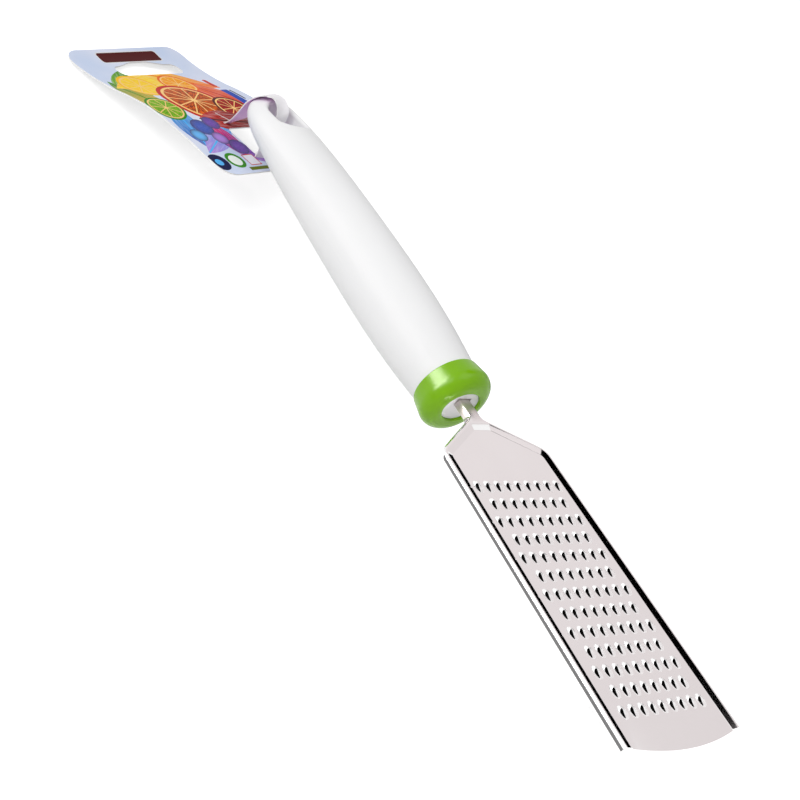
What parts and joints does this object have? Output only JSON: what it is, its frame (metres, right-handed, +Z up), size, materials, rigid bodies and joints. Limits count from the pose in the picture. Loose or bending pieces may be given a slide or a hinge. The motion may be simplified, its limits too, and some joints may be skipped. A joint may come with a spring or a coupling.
{
  "type": "rasp zester",
  "caption": "Hand rasp zester: flanged steel blade with rows of raised teeth, white barrel handle with hanging eyelet, green collar and a strapped printed hang tag",
  "frame": {"origin": "centre of the hanging eyelet, on the handle's axis", "axes": "+Y along the handle from the tail to the blade's end, +Z up on the toothed side, +X to the left seen from the blade's end looking back to the handle with the teeth up"},
  "size_m": [0.0805, 0.3512, 0.0439],
  "materials": {
    "blade_steel": "polished stainless sheet, fine grain",
    "handle_white": "satin",
    "core_white": "satin",
    "collar_green": "gloss",
    "tag_card": "printed card, coated"
  },
  "bodies": {
    "zester": {"rasp_blade": "blade_steel", "handle_body": "handle_white", "handle_core": "core_white", "collar_ring": "collar_green"},
    "tag": {"hang_tag": "tag_card"}
  },
  "joints": [
    {"name": "tag_swing", "type": "hinge", "parent": "zester", "child": "tag", "pos_m": [0, -0.009, 0.0003], "axis": [1, 0, 0], "range_deg": [-170, 5]}
  ]
}
